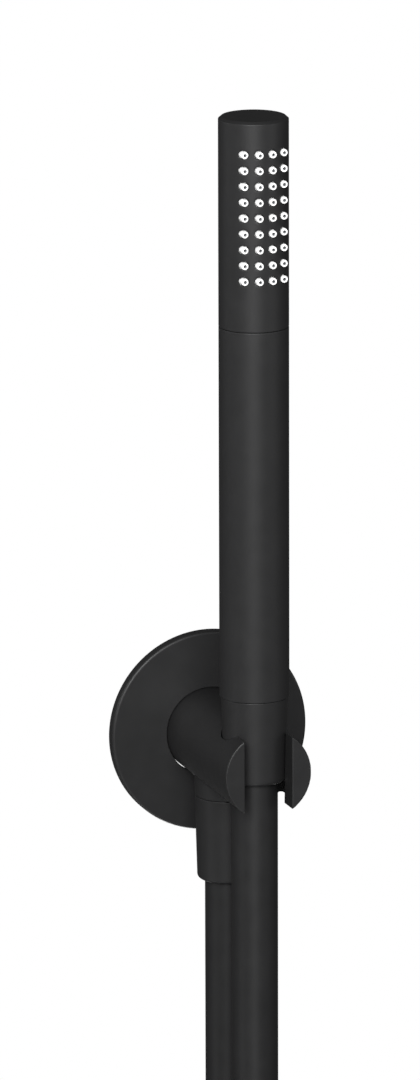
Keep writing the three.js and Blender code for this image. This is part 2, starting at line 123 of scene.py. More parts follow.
def rounded(corners, closed=True, steps=5, support=0.25):
    """Corners (radius, height[, fillet]) to points. Each fillet becomes an arc, and a long side
    gets a point close to each of its ends, which keeps its shading flat."""
    corners = [tuple(c) + (0.0,) * (3 - len(c)) for c in corners]
    count = len(corners)
    pieces = []
    for i, (r, h, fillet) in enumerate(corners):
        here = np.array([r, h])
        if fillet <= 0 or (not closed and i in (0, count - 1)):
            pieces.append([here])
            continue
        before = np.array(corners[i - 1][:2]) - here
        after = np.array(corners[(i + 1) % count][:2]) - here
        u, v = before / np.linalg.norm(before), after / np.linalg.norm(after)
        half = math.acos(float(np.clip(u @ v, -1, 1))) / 2
        centre = here + (u + v) / np.linalg.norm(u + v) * fillet / math.sin(half)
        start = here + u * fillet / math.tan(half) - centre
        end = here + v * fillet / math.tan(half) - centre
        turn = math.atan2(start[0] * end[1] - start[1] * end[0], start @ end)
        arc = []
        for k in range(steps + 1):
            a = turn * k / steps
            arc.append(centre + [start[0] * math.cos(a) - start[1] * math.sin(a),
                                 start[0] * math.sin(a) + start[1] * math.cos(a)])
        pieces.append(arc)
    points = []
    for i, piece in enumerate(pieces):
        points.extend(piece)
        if not closed and i == count - 1:
            break
        a, b = piece[-1], pieces[(i + 1) % count][0]
        length = np.linalg.norm(b - a)
        if length > 6 * support:
            points.extend([a + (b - a) * support / length, b - (b - a) * support / length])
    return points


def lathe(name, profile, centre=(0, 0, 0), axis="Z", segments=144, turn=0.0):
    """Solid of revolution. The profile is closed, or runs from axis to axis; its outside goes up."""
    points, rings = [], []
    for r, h in profile:
        if r < 1e-6:
            rings.append([len(points)])
            points.append((0, 0, h))
            continue
        rings.append(range(len(points), len(points) + segments))
        for k in range(segments):
            a = 2 * math.pi * k / segments + turn
            points.append((r * math.cos(a), r * math.sin(a), h))
    open_ended = len(rings[0]) == 1 and len(rings[-1]) == 1
    pairs = list(zip(rings, rings[1:] if open_ended else [*rings[1:], rings[0]]))
    faces = []
    for low, high in pairs:
        for k in range(segments):
            n = (k + 1) % segments
            if len(low) == 1:
                faces.append((low[0], high[n], high[k]))
            elif len(high) == 1:
                faces.append((low[k], low[n], high[0]))
            else:
                faces.append((low[k], low[n], high[n], high[k]))
    points = np.array(points, float)
    if axis == "Y":  # heights run along +Y
        points = np.stack([points[:, 0], points[:, 2], -points[:, 1]], 1)
    return make_object(name, points + np.array(centre), faces)


def joined(piece, tool, operation):
    """Boolean of two mesh objects; the tool goes away."""
    step = piece.modifiers.new("tool", "BOOLEAN")
    step.object, step.operation, step.solver = tool, operation, "MANIFOLD"
    bpy.context.view_layer.update()
    evaluated = piece.evaluated_get(bpy.context.evaluated_depsgraph_get())
    mesh = bpy.data.meshes.new_from_object(evaluated)
    piece.modifiers.clear()
    piece.data = mesh
    mesh.shade_smooth()
    mesh.set_sharp_from_angle(angle=math.radians(32))
    bpy.data.objects.remove(tool)
    return piece


# ---- solids given by a distance field -----------------------------------------------------------


def round_cut(solid, tool, fillet):
    """What the tool leaves of the solid, with the edge between them rounded."""
    a, b = solid, -tool
    corner = np.hypot(np.maximum(a + fillet, 0), np.maximum(b + fillet, 0))
    return np.minimum(-fillet, np.maximum(a, b)) + corner


def round_union(a, b, fillet):
    corner = np.hypot(np.maximum(fillet - a, 0), np.maximum(fillet - b, 0))
    return np.maximum(fillet, np.minimum(a, b)) - corner


def slope(field, points, reach=0.01):
    """Gradient of a field at points, one row each."""
    parts = []
    for axis in range(3):
        offset = np.zeros(3)
        offset[axis] = reach
        ahead, behind = field(*(points + offset).T), field(*(points - offset).T)
        parts.append((ahead - behind) / (2 * reach))
    return np.stack(parts, 1)


def solid_from(name, field, low, high, step):
    """Closed mesh of quads on the surface where the field is zero, with the field's own normals.
    One point stands in each grid cell that the surface crosses."""
    axes = [np.arange(a, b + step, step) for a, b in zip(low, high)]
    value = field(*np.meshgrid(*axes, indexing="ij"))
    cells = np.array(value.shape) - 1
    stride = np.array([cells[1] * cells[2], cells[2], 1])
    place_sum, hits, quads = np.zeros((cells.prod(), 3)), np.zeros(cells.prod()), []
    for axis in range(3):
        near = np.take(value, np.arange(cells[axis]), axis)
        far = np.take(value, np.arange(1, cells[axis] + 1), axis)
        at = np.argwhere((near < 0) != (far < 0))
        a, b = near[tuple(at.T)], far[tuple(at.T)]
        crossing = at.astype(float)
        crossing[:, axis] += a / (a - b)
        u, v = np.eye(3, dtype=int)[(axis + 1) % 3], np.eye(3, dtype=int)[(axis + 2) % 3]
        corners = [(at - u - v) @ stride, (at - v) @ stride, at @ stride, (at - u) @ stride]
        for corner in corners:
            np.add.at(place_sum, corner, crossing)
            np.add.at(hits, corner, 1)
        loops = np.stack(corners, 1)
        quads.append(np.where((a < 0)[:, None], loops, loops[:, ::-1]))
    used = np.flatnonzero(hits)
    points = np.array(low) + place_sum[used] / hits[used, None] * step
    for _ in range(4):  # onto the surface
        g = slope(field, points)
        points -= np.clip(field(*points.T), -step / 2, step / 2)[:, None] * g / (
            (g * g).sum(1)[:, None] + 1e-9)
    order = np.full(cells.prod(), -1)
    order[used] = np.arange(len(used))
    thing = make_object(name, points, order[np.concatenate(quads)], 180)
    g = slope(field, points)
    normals = g / np.maximum(np.linalg.norm(g, axis=1), 1e-9)[:, None]
    thing.data.normals_split_custom_set_from_vertices(normals.tolist())
    return thing


# ---- procedural materials -----------------------------------------------------------------------


class Surface:
    """A node material whose textures use the object's own coordinates, in millimetres."""

    def __init__(self, name, colour, roughness, metallic=0.0, **inputs):
        self.material = bpy.data.materials.new(name)
        self.material.use_nodes = True
        self.nodes = self.material.node_tree.nodes
        self.links = self.material.node_tree.links
        self.shader = self.nodes["Principled BSDF"]
        self.colour, self.roughness = colour, roughness
        self.set(self.shader, {"Base Color": (*colour, 1), "Roughness": roughness,
                               "Metallic": metallic, **inputs})
        coordinates = self.nodes.new("ShaderNodeTexCoord")
        scale = self.nodes.new("ShaderNodeVectorMath")
        scale.operation = "SCALE"
        scale.inputs["Scale"].default_value = 1 / MM
        self.links.new(coordinates.outputs["Object"], scale.inputs[0])
        self.place = scale.outputs[0]
        self.normal = None

    @staticmethod
    def set(node, values):
        for key, value in values.items():
            node.inputs[key].default_value = value

    def noise(self, size, detail=2.0, stretch=None):
        """Noise with features of about `size` millimetres, optionally stretched per axis."""
        node = self.nodes.new("ShaderNodeTexNoise")
        self.set(node, {"Scale": 1 / size, "Detail": detail})
        source = self.place
        if stretch:
            mapping = self.nodes.new("ShaderNodeMapping")
            mapping.inputs["Scale"].default_value = [1 / s for s in stretch]
            self.links.new(source, mapping.inputs["Vector"])
            source = mapping.outputs[0]
        self.links.new(source, node.inputs["Vector"])
        return node.outputs["Fac"]

    def spread(self, value, low, high):
        """Maps a texture's middle range to low..high."""
        node = self.nodes.new("ShaderNodeMapRange")
        self.set(node, {"From Min": 0.3, "From Max": 0.7, "To Min": low, "To Max": high})
        self.links.new(value, node.inputs["Value"])
        return node.outputs["Result"]

    def vary_colour(self, value, share):
        """The colour goes down and up by that share with the texture."""
        ramp = self.nodes.new("ShaderNodeMix")
        ramp.data_type = "RGBA"
        ramp.inputs["A"].default_value = (*(c * (1 - share) for c in self.colour), 1)
        ramp.inputs["B"].default_value = (*(min(1, c * (1 + share)) for c in self.colour), 1)
        self.links.new(self.spread(value, 0, 1), ramp.inputs["Factor"])
        self.links.new(ramp.outputs["Result"], self.shader.inputs["Base Color"])
        return self

    def vary_roughness(self, value, amount):
        low, high = self.roughness - amount, self.roughness + amount
        self.links.new(self.spread(value, low, high), self.shader.inputs["Roughness"])
        return self

    def bump(self, value, height, strength=1.0):
        """Relief of a height in millimetres. Several calls add up."""
        node = self.nodes.new("ShaderNodeBump")
        self.set(node, {"Distance": height * MM, "Strength": strength})
        self.links.new(value, node.inputs["Height"])
        if self.normal:
            self.links.new(self.normal, node.inputs["Normal"])
        self.normal = node.outputs["Normal"]
        self.links.new(self.normal, self.shader.inputs["Normal"])
        return self


def coat():
    s = Surface("matte_black_coat", (0.0125, 0.0125, 0.0128), 0.44, **{"Specular IOR Level": 0.255})
    s.vary_colour(s.noise(14, 3), 0.06).vary_roughness(s.noise(5, 4), 0.03)
    return s.bump(s.noise(0.35, 3), 0.006).material


def hose_skin():
    s = Surface("satin_hose", (0.0105, 0.0105, 0.0108), 0.44, **{"Specular IOR Level": 0.27})
    s.vary_colour(s.noise(20, 3), 0.08).vary_roughness(s.noise(6, 4), 0.04)
    return s.bump(s.noise(0.8, 3), 0.01).material


def silicone():
    s = Surface("white_silicone", (0.78, 0.78, 0.775), 0.5)
    s.vary_colour(s.noise(3, 2), 0.02).vary_roughness(s.noise(1, 3), 0.05)
    return s.bump(s.noise(0.2, 2), 0.003).material


def rubber():
    s = Surface("seal_rubber", (0.013, 0.013, 0.013), 0.6)
    s.vary_colour(s.noise(4, 3), 0.15).vary_roughness(s.noise(1, 3), 0.08)
    return s.bump(s.noise(0.3, 3), 0.006).material


def foam():
    s = Surface("gasket_foam", (0.03, 0.03, 0.031), 0.9)
    cells = s.nodes.new("ShaderNodeTexVoronoi")
    cells.inputs["Scale"].default_value = 1 / 0.5
    s.links.new(s.place, cells.inputs["Vector"])
    s.vary_colour(s.noise(1.2, 4), 0.3)
    return s.bump(cells.outputs["Distance"], 0.12).material


def brass():
    s = Surface("brass", (0.66, 0.48, 0.22), 0.3, metallic=1.0)
    s.vary_colour(s.noise(5, 4), 0.08).vary_roughness(s.noise(0.6, 4, (1, 1, 0.08)), 0.07)
    return s.bump(s.noise(0.25, 2, (1, 1, 0.1)), 0.004).material


def steel():
    s = Surface("steel", (0.55, 0.56, 0.57), 0.28, metallic=1.0)
    s.vary_colour(s.noise(3, 3), 0.05).vary_roughness(s.noise(0.5, 4), 0.06)
    return s.bump(s.noise(0.2, 2), 0.002).material


def plastic(name, colour):
    s = Surface(name, colour, 0.46)
    s.vary_colour(s.noise(8, 3), 0.04).vary_roughness(s.noise(1.5, 4), 0.05)
    return s.bump(s.noise(0.25, 3), 0.004).material


def strap():
    s = Surface("strap_fabric", (0.02, 0.02, 0.021), 0.85)
    s.shader.inputs["Sheen Weight"].default_value = 0.3
    s.vary_colour(s.noise(0.6, 4), 0.35)
    return s.bump(s.noise(0.35, 4), 0.12).material


FINISH = {
    "black_coat": coat(),
    "hose_black": hose_skin(),
    "silicone": silicone(),
    "seal_rubber": rubber(),
    "foam": foam(),
    "brass": brass(),
    "steel": steel(),
    "grey_plastic": plastic("grey_plastic", (0.26, 0.27, 0.28)),
    "white_plastic": plastic("white_plastic", (0.75, 0.75, 0.73)),
    "strap": strap(),
}
for node, slot in SLOT_OF.items():
    nodes[node].data.materials.clear()
    nodes[node].data.materials.append(FINISH[slot])


def finish(piece, *replaced, rides=True):
    """Gives a piece the finish and the body of the first CAD node that it stands for."""
    slot = SLOT_OF[replaced[0]]
    piece.data.materials.clear()
    piece.data.materials.append(FINISH[slot])
    if rides:
        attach(piece, BODY_OF[replaced[0]])
    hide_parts(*replaced)
    return piece


# ---- wall side ------------------------------------------------------------------------------------


def rosette():
    """Thin cup with its rim on the wall, and a lip round its hole for the arm."""
    outer, front = radius("wall_rosette"), box("wall_rosette")[0].y
    hole = ARM_RADIUS + 0.3
    rim, plate, lip_wall, lip_depth = 1.6, 1.6, 1.4, 4.0
    finish(lathe("rosette", rounded([
        (hole, front, 0.08), (outer, front, 0.9), (outer, 0, 0.15), (outer - rim, 0, 0.15),
        (outer - rim, front + plate, 0.5), (hole + lip_wall, front + plate, 0.5),
        (hole + lip_wall, front + lip_depth, 0.15), (hole, front + lip_depth, 0.15),
    ]), axis="Y", segments=192), "wall_rosette")


rosette()

SLOT_HALF = 8.9
NUT_TOP_RADIUS, NUT_FOOT_RADIUS, NUT_LENGTH, NUT_ROUND = 11.95, 11.08, 31.0, 1.6
NUT_TAPER = (NUT_TOP_RADIUS - NUT_FOOT_RADIUS) / NUT_LENGTH
HANDSET_NUT_TOP = span("handset_hose_nut")[1]
# Hollows in the arm: radius, and where each one starts and ends along its axis.
SUPPLY_SOCKET = (10.5, -14.8, 9)
WATERWAY = (7.0, -31.5, -10)
COLLAR_SOCKET = (NUT_TOP_RADIUS + GAP, -30, -10.5)
OUTLET_SOCKET = (9.8, -12, -5.5)
SCREW_HOLE, SCREW_Y = (2.8, -30, -8.8), -8


def arm_field(x, y, z):
    """Distance field of the holder arm, with its slot, its seat and the hollows inside it."""
    def hollow(across, along, size, low, high):
        return round_cut(np.hypot(*across) - size, -np.maximum(low - along, along - high), 0.0)

    body = round_cut(np.hypot(x, z) - ARM_RADIUS,
                     -np.maximum(ARM_FRONT - y, y - ARM_BACK), 0.25)
    slot = np.maximum(np.abs(x) - SLOT_HALF, y - STICK_Y)
    from_axis = np.hypot(x, y - STICK_Y)
    seat = from_axis - (NUT_TOP_RADIUS - NUT_TAPER * (HANDSET_NUT_TOP - z) + GAP - SEAM)
    field = round_cut(body, round_union(slot, seat, 0.3), 0.3)
    field = np.maximum(field, -hollow((x, z), y, *SUPPLY_SOCKET))
    field = np.maximum(field, -hollow((x, z), y, *WATERWAY))
    field = round_cut(field, hollow((x, y - OUTLET_Y), z, *COLLAR_SOCKET), 0.2)
    field = np.maximum(field, -hollow((x, y - OUTLET_Y), z, *OUTLET_SOCKET))
    return np.maximum(field, -hollow((x, y - SCREW_Y), z, *SCREW_HOLE))


def holder_arm():
    side = ARM_RADIUS + 1
    lowest, highest = (-side, ARM_FRONT - 1, -side), (side, ARM_BACK + 1, side)
    finish(solid_from("holder_arm_body", arm_field, lowest, highest, 0.4), "holder_arm")


holder_arm()


def hose_nut(name, node):
    """Conical hose nut with a hollow for the thread."""
    foot, top = span(node)
    mouth, thread = HOSE_RADIUS + 0.06, 10.5
    shoulder = span(node.replace("nut", "cuff"))[1] + GAP
    finish(lathe(name, rounded([
        (mouth, foot, 0.1), (NUT_FOOT_RADIUS, foot, NUT_ROUND),
        (NUT_TOP_RADIUS, top + SEAM, 0.3), (thread, top + SEAM, 0.2),
        (thread, shoulder), (mouth, shoulder),
    ], steps=7), (0, middle(node).y, 0)), node)


hose_nut("nut_of_outlet", "outlet_hose_nut")
hose_nut("nut_of_handset", "handset_hose_nut")


# ---- turned pieces, threads and O-rings -------------------------------------------------------------


def profile_of(node, axis="Z"):
    """Outline (radius, height) of a turned CAD node, read from its first meridian. It is closed,
    or runs from axis to axis, and its outside goes up."""
    centre, spots = middle(node), []
    for vertex in nodes[node].data.vertices:
        x, y, z = vertex.co / MM
        u, v, h = (x - centre.x, y - centre.y, z) if axis == "Z" else (x, z, y)
        angle = (math.degrees(math.atan2(v, u)) + 0.5) % 360
        r = math.hypot(u, v)
        spots.append((round(r, 2), round(h, 2), angle if r > 0.01 else None))
    first = min(angle for _, _, angle in spots if angle is not None)
    beside = {}
    for edge in nodes[node].data.edges:
        a, b = (spots[i] for i in edge.vertices)
        if a[:2] != b[:2] and all(p[2] is None or abs(p[2] - first) < 0.1 for p in (a, b)):
            beside.setdefault(a[:2], set()).add(b[:2])
            beside.setdefault(b[:2], set()).add(a[:2])
    start = min(beside, key=lambda p: (len(beside[p]) != 1, p[1], p[0]))
    chain, here = [start], max(beside[start])
    while here != start:
        chain.append(here)
        further = [p for p in beside[here] if p not in chain[-2:]]
        if not further:
            break
        here = further[0]
    return chain


def softened(profile, fillet, closed=True):
    """The profile without its idle points, and with its corners rounded as far as they allow."""
    points = [np.array(p[:2], float) for p in profile]
    count, corners = len(points), []
    for i, here in enumerate(points):
        if not closed and i in (0, count - 1):
            corners.append((*here,))
            continue
        u, v = points[i - 1] - here, points[(i + 1) % count] - here
        short = min(np.linalg.norm(u), np.linalg.norm(v))
        bend = abs(u[0] * v[1] - u[1] * v[0]) / (np.linalg.norm(u) * np.linalg.norm(v))
        if bend > 0.02:
            corners.append((*here, min(fillet, 0.35 * short)))
    return rounded(corners, closed, steps=3)


def turned_again(node, fillet=0.15, axis="Z", profile=None):
    """A turned CAD node as a fine lathed piece with soft edges."""
    profile = profile or profile_of(node, axis)
    closed = profile[0][0] > 0.01
    centre = (0, 0, 0) if axis == "Y" else (0, middle(node).y, 0)
    return lathe(node + "_turned", softened(profile, fillet, closed), centre, axis, 96)


PITCH, MAJOR, MINOR = 1.814, 10.48, 9.32  # of a G1/2 thread


def with_thread(piece, low, high, centre=(0, 0, 0), axis="Z", pitch=PITCH, major=MAJOR, minor=MINOR):
    """Adds a helical ridge to a plain shank. The ridge runs out softly at both ends."""
    per_turn, base = 48, minor - 0.3
    steps = int((high - low - 0.9 * pitch) / pitch * per_turn)
    points, faces = [], []
    for k in range(steps + 1):
        fade = min(1, (k + 1) / 16, (steps - k + 1) / 16)
        crest = base + (major - base) * fade
        a, h = 2 * math.pi * k / per_turn, low + 0.45 * pitch + pitch * k / per_turn
        for r, across in ((base, -0.45), (crest, -0.09), (crest, 0.09), (base, 0.45)):
            points.append((r * math.cos(a), r * math.sin(a), h + across * pitch))
    for k in range(steps):
        for i in range(4):
            n = (i + 1) % 4
            faces.append((4 * k + i, 4 * k + n, 4 * k + 4 + n, 4 * k + 4 + i)[::-1])
    faces += [(0, 1, 2, 3), (4 * steps + 3, 4 * steps + 2, 4 * steps + 1, 4 * steps)]
    points = np.array(points)
    if axis == "Y":
        points = np.stack([points[:, 0], points[:, 2], -points[:, 1]], 1)
    return joined(piece, make_object("ridge", points + np.array(centre), faces), "UNION")


def core_of(profile, low, high):
    """The profile with its plain thread, between two heights, brought in to the thread's core."""
    return [(MINOR if low < h < high and MINOR < r < MAJOR + 0.1 else r, h) for r, h in profile]


def o_ring(node, section, axis="Z"):
    centre, ring = middle(node), radius(node) - section
    height = centre.z if axis == "Z" else centre.y
    loop = [(ring + section * math.cos(a), height + section * math.sin(a))
            for a in np.arange(24) * math.pi / 12]
    spot = (0, centre.y, 0) if axis == "Z" else (0, 0, 0)
    finish(lathe(node + "_turned", loop, spot, axis, 96), node)


def hexagon(across_flats, low, high, centre=(0, 0, 0), axis="Z"):
    corner = across_flats / 2 / math.cos(math.pi / 6)
    return lathe("hexagon", [(0, low), (corner, low), (corner, high), (0, high)], centre, axis, 6)


def drilled(piece, spots, hole, low, high):
    """Cuts round holes along Z at (x, y) spots."""
    for x, y in spots:
        rod = [(0, low), (hole, low), (hole, high), (0, high)]
        joined(piece, lathe("drill", rod, (x, y, 0), segments=32), "DIFFERENCE")
    return piece


def ring_of_six(distance, y):
    """Six (x, y) spots round a vertical axis."""
    return [(distance * math.cos(a), y + distance * math.sin(a)) for a in np.arange(6) * math.pi / 3]


def supply_nipple():
    """G1/2 nipple with a hexagon socket at the front."""
    front, back = box("supply_nipple")[0].y, box("supply_nipple")[1].y
    bore, thread_from = 6.0, 1.6
    outside = [p for p in profile_of("supply_nipple", "Y") if p[0] > bore + 1]
    nipple = turned_again("supply_nipple", 0.2, "Y", [
        (bore, front), *core_of(outside, thread_from - 0.1, back + 1), (bore, back)])
    joined(nipple, hexagon(12.0, front - 1, front + 11, axis="Y"), "DIFFERENCE")
    finish(with_thread(nipple, thread_from, back - 0.3, axis="Y"), "supply_nipple")


def lock_screw():
    """M5 grub screw with a hexagon socket below and a cone point above."""
    low, high = span("lock_screw")
    centre = (0, middle("lock_screw").y, 0)
    core = 2.1
    screw = turned_again("lock_screw", 0.15, profile=[
        (0, low), (core - 0.15, low), (core, low + 0.4), (core, high - 1.3), (1.2, high), (0, high)])
    joined(screw, hexagon(2.5, low - 1, low + 2.5, centre), "DIFFERENCE")
    with_thread(screw, low + 0.1, high - 1, centre, pitch=0.8, major=2.5, minor=core)
    finish(screw, "lock_screw")


def outlet_nipple():
    """Threaded outlet below the arm. Its collar is as wide as the nut and stands close to it."""
    low, collar_foot = span("outlet_nipple")[0], span("outlet_hose_nut")[1] + GAP
    profile = core_of(profile_of("outlet_nipple"), low - 1, collar_foot + 0.1)
    profile = [(NUT_TOP_RADIUS if r > 11 else r, collar_foot - SEAM if abs(h - collar_foot) < 0.05 else h)
               for r, h in profile]
    nipple = turned_again("outlet_nipple", 0.12, profile=profile)
    finish(with_thread(nipple, low, collar_foot - 0.6, AT_OUTLET), "outlet_nipple")


def valve_housing():
    """Cage of the non-return valve, with a seat on top, and a guide below amid six waterways."""
    low, high = span("valve_housing")
    body, bore, seat, guide, plate = 7.3, 6.2, 4.2, 1.2, 2.0
    seal_z, groove, groove_half = middle("valve_o_ring").z, 6.5, 0.6
    housing = turned_again("valve_housing", 0.2, profile=[
        (guide, low), (body, low), (body, seal_z - groove_half), (groove, seal_z - groove_half),
        (groove, seal_z + groove_half), (body, seal_z + groove_half), (body, high), (seat, high),
        (seat, high - plate), (bore, high - plate), (bore, low + plate), (guide, low + plate)])
    finish(drilled(housing, ring_of_six(3.7, OUTLET_Y), 1.5, low - 1, low + plate + 1), "valve_housing")


AT_OUTLET = (0, OUTLET_Y, 0)
finish(turned_again("rosette_gasket", 0.4, "Y"), "rosette_gasket")
supply_nipple()
lock_screw()
outlet_nipple()
valve_housing()
finish(turned_again("valve_poppet", 0.2), "valve_poppet")


# ---- handset --------------------------------------------------------------------------------------

BORE = STICK_RADIUS - 1.5
HANDLE_LOW, HANDLE_HIGH = span("handle_tube")
HEAD_LOW, HEAD_TOP = span("spray_shell")
STICK_AXIS = (0, STICK_Y, 0)
finish(lathe("handle", rounded([
    (BORE, HANDLE_LOW - SEAM, 0.2), (STICK_RADIUS, HANDLE_LOW - SEAM, 0.2),
    (STICK_RADIUS, HANDLE_HIGH + SEAM, 0.25), (BORE, HANDLE_HIGH + SEAM, 0.2),
]), STICK_AXIS), "handle_tube")

JET_ROWS, JET_COLUMNS = 9, 4
JET_PITCH, JET_SPACING, JET_FIRST = 5.675, 4.92, 179.15
JET_X = [JET_SPACING * (i - (JET_COLUMNS - 1) / 2) for i in range(JET_COLUMNS)]
JET_Z = [JET_FIRST + JET_PITCH * i for i in range(JET_ROWS)]
JET_PROUD = 1.25  # how far the nozzles stand out of the stick
JET_BASE, JET_TIP, JET_BORE = 1.3, 1.24, 0.6  # radii


def facing(points):
    """Points about the handset's own axis, with the nozzles towards -Y, to where they stand."""
    c, s = math.cos(FACING), math.sin(FACING)
    return np.asarray(points) @ np.array([[c, s, 0], [-s, c, 0], [0, 0, 1]]) + STICK_AXIS


def on_cylinder(r, x):
    """Y of the front of a cylinder round the origin, at x. The front is at -Y."""
    return -math.sqrt(r * r - x * x)


def spray_head():
    """Hollow head in quads, with a round hole with a soft edge for each nozzle."""
    n, back_columns, clear, soft = 8, 88, 1.56, 0.1  # n edges of a hole's cell on each side
    inner_r, outer_r, bevel, bevel_drop, lid = BORE, STICK_RADIUS, 1.1, 0.95, 2.0
    xs = [JET_SPACING * (i / n - JET_COLUMNS / 2) for i in range(JET_COLUMNS * n + 1)]
    columns = [(math.asin(x / outer_r), math.asin(x / inner_r)) for x in xs]
    for k in range(1, back_columns):
        t = k / back_columns
        columns.append(tuple(a + (2 * math.pi - 2 * a) * t for a in columns[JET_COLUMNS * n]))
    first = JET_Z[0] - JET_PITCH / 2
    rows = [first + JET_PITCH * i / n for i in range(JET_ROWS * n + 1)]
    low, high = HEAD_LOW - SEAM, HEAD_TOP - lid
    skin = rounded([(inner_r, high, 0.4), (inner_r, low, 0.2), (outer_r, low, 0.15),
                    (outer_r, HEAD_TOP - bevel_drop, 0.3), (outer_r - bevel, HEAD_TOP, 0.3),
                    (0, HEAD_TOP)], closed=False, steps=6)
    rings = [(r, z, r < inner_r + 0.7) for r, z in [(0, high), (5, high), (inner_r - 0.4, high), *skin]]
    whole = []  # the skin with the nozzle rows put into both walls
    for ring, after in zip(rings, rings[1:] + [None]):
        whole.append(ring)
        if after and abs(ring[0] - after[0]) < 1e-6 and abs(ring[1] - after[1]) > 50:
            span_rows = rows if after[1] > ring[1] else rows[::-1]
            whole += [(ring[0], z, ring[2]) for z in span_rows]
    points, faces, ring_start = [], [], []
    for r, z, inner in whole:
        ring_start.append(len(points))
        if r == 0:
            points.append((0, 0, z))
            continue
        for outer_angle, inner_angle in columns:
            a = inner_angle if inner else outer_angle
            points.append((r * math.sin(a), -r * math.cos(a), z))
    row_set = {round(z, 6) for z in rows}
    count = len(columns)
    for a in range(len(whole) - 1):
        b = a + 1
        holed = (round(whole[a][1], 6) in row_set and round(whole[b][1], 6) in row_set
                 and abs(whole[a][0] - whole[b][0]) < 1e-6)
        for c in range(JET_COLUMNS * n if holed else 0, count):
            d = (c + 1) % count
            if whole[a][0] == 0:
                faces.append((ring_start[a], ring_start[b] + d, ring_start[b] + c))
            elif whole[b][0] == 0:
                faces.append((ring_start[a] + c, ring_start[a] + d, ring_start[b]))
            else:
                faces.append((ring_start[a] + c, ring_start[a] + d,
                              ring_start[b] + d, ring_start[b] + c))
    at_row = {(inner, round(z, 6)): start for (r, z, inner), start in zip(whole, ring_start)
              if round(z, 6) in row_set}

    def cell_edge(i, j, inner):
        """Grid points round a hole's cell, anticlockwise seen from the front."""
        steps = ([(m, 0) for m in range(n)] + [(n, k) for k in range(n)]
                 + [(m, n) for m in range(n, 0, -1)] + [(0, k) for k in range(n, 0, -1)])
        return [at_row[inner, round(rows[j * n + k], 6)] + i * n + m for m, k in steps]

    def strip(a, b):
        for k in range(len(a)):
            m = (k + 1) % len(a)
            faces.append((a[k], a[m], b[m], b[k]))

    def circle(i, j, radius, wall, depth=0.0, mix=0.0, edge_loop=()):
        """A ring of points round a hole, `mix` of the way out to its cell's edge."""
        made = []
        for k in range(4 * n):
            t = math.radians(-135) + 2 * math.pi * k / (4 * n)
            x, z = JET_X[i] + radius * math.cos(t), JET_Z[j] + radius * math.sin(t)
            if mix:
                edge_x, _, edge_z = points[edge_loop[k]]
                x, z = x + (edge_x - x) * mix, z + (edge_z - z) * mix
            made.append(len(points))
            points.append((x, on_cylinder(wall, x) + depth, z))
        return made

    for i in range(JET_COLUMNS):
        for j in range(JET_ROWS):
            outside, inside = cell_edge(i, j, False), cell_edge(i, j, True)
            loops = [outside, circle(i, j, clear + soft, outer_r, 0, 0.45, outside),
                     circle(i, j, clear + soft, outer_r)]
            for a in (30, 60, 90):
                c, s = math.cos(math.radians(a)), math.sin(math.radians(a))
                loops.append(circle(i, j, clear + soft * (1 - s), outer_r, soft * (1 - c)))
            loops.append(circle(i, j, clear, outer_r, 0.4))
            loops += [circle(i, j, clear, inner_r), circle(i, j, clear, inner_r, 0, 0.45, inside), inside]
            for a, b in zip(loops, loops[1:]):
                strip(a, b)
    used = sorted({v for f in faces for v in f})
    new = {v: k for k, v in enumerate(used)}
    return make_object("spray_head", facing([points[v] for v in used]),
                       [[new[v] for v in f] for f in faces])


finish(spray_head(), "spray_shell")


def at_jets(name, profile, ahead, segments):
    """One mesh of a turned piece at each nozzle, along -Y. ahead(x) is how far in front of the
    stick's axis its origin is."""
    single = lathe(name, profile, segments=segments)
    base = np.array([v.co for v in single.data.vertices]) / MM
    loops = [list(p.vertices) for p in single.data.polygons]
    bpy.data.objects.remove(single)
    forward = np.stack([base[:, 0], -base[:, 2], base[:, 1]], 1)
    spots = [(x, -ahead(x), z) for z in JET_Z for x in JET_X]
    faces = [[v + k * len(base) for v in loop] for k in range(len(spots)) for loop in loops]
    return make_object(name, facing(np.concatenate([forward + spot for spot in spots])), faces)


def nozzle_mat():
    """Curved silicone sheet with the nozzles on it."""
    outer_r = BORE - GAP
    inner_r, side = outer_r - 1.2, math.acos(6 / (outer_r - 0.6))
    low, high = span("nozzle_mat")
    across, tall = 36, 40
    points, faces = [], []
    for r in (inner_r, outer_r):
        for j in range(tall + 1):
            for i in range(across + 1):
                a = side * (2 * i / across - 1)
                points.append((r * math.sin(a), -r * math.cos(a), low + (high - low) * j / tall))
    width, layer = across + 1, (across + 1) * (tall + 1)
    for j in range(tall):
        for i in range(across):
            quad = [j * width + i, j * width + i + 1, (j + 1) * width + i + 1, (j + 1) * width + i]
            faces += [quad[::-1], [v + layer for v in quad]]
    rim = (list(range(width)) + [width * j + across for j in range(1, tall + 1)]
           + [width * tall + i for i in range(across - 1, -1, -1)]
           + [width * j for j in range(tall - 1, 0, -1)])
    for a, b in zip(rim, rim[1:] + rim[:1]):
        faces.append((a, b, b + layer, a + layer))
    sheet = make_object("nozzles", facing(points), faces)

    def tip(x):
        return JET_PROUD - on_cylinder(STICK_RADIUS, x)

    root = -(JET_PROUD + 2.0)
    pin = [(0, root), (JET_BASE, root)] + rounded(
        [(JET_BASE, -JET_PROUD - 0.3), (JET_TIP, 0, 0.2), (0, 0)], closed=False, steps=4)
    drill = [(0, -6), (JET_BORE, -6), (JET_BORE, 0.5), (0, 0.5)]
    joined(sheet, at_jets("pins", pin, tip, 32), "UNION")
    joined(sheet, at_jets("drills", drill, tip, 24), "DIFFERENCE")
    return sheet


